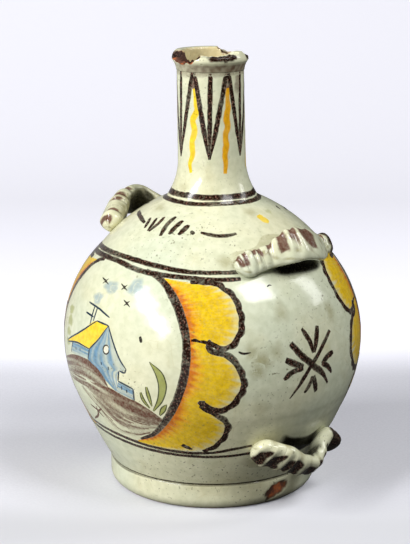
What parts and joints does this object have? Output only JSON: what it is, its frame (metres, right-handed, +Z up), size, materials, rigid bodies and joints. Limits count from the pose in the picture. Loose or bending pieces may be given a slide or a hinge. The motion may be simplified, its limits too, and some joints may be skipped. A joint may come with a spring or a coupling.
{
  "type": "pilgrim flask",
  "caption": "Round-bellied glazed earthenware flask with a foot ring, a tall narrow neck, a damaged lip and cord loops at the shoulder and base, for carrying a drink.",
  "frame": {"origin": "centre of the standing face, on the turning axis", "axes": "+Z up along the neck; cord loops at +X and -X; painted panels at -Y and +Y"},
  "size_m": [0.1542, 0.1524, 0.22],
  "materials": {
    "tin_glaze": "glossy pale tin glaze with painted bands, panels and stripes"
  },
  "bodies": {
    "root": {"foot_ring": "tin_glaze", "lower_bowl": "tin_glaze", "belly_wall": "tin_glaze", "shoulder_dome": "tin_glaze", "neck_tube": "tin_glaze", "lip_ring": "tin_glaze", "right_shoulder_loop_arch": "tin_glaze", "right_shoulder_loop_front_pad": "tin_glaze", "right_shoulder_loop_rear_pad": "tin_glaze", "right_lower_loop_arch": "tin_glaze", "right_lower_loop_front_pad": "tin_glaze", "right_lower_loop_rear_pad": "tin_glaze", "left_shoulder_loop_arch": "tin_glaze", "left_shoulder_loop_front_pad": "tin_glaze", "left_shoulder_loop_rear_pad": "tin_glaze", "left_lower_loop_arch": "tin_glaze", "left_lower_loop_front_pad": "tin_glaze", "left_lower_loop_rear_pad": "tin_glaze"}
  },
  "joints": []
}
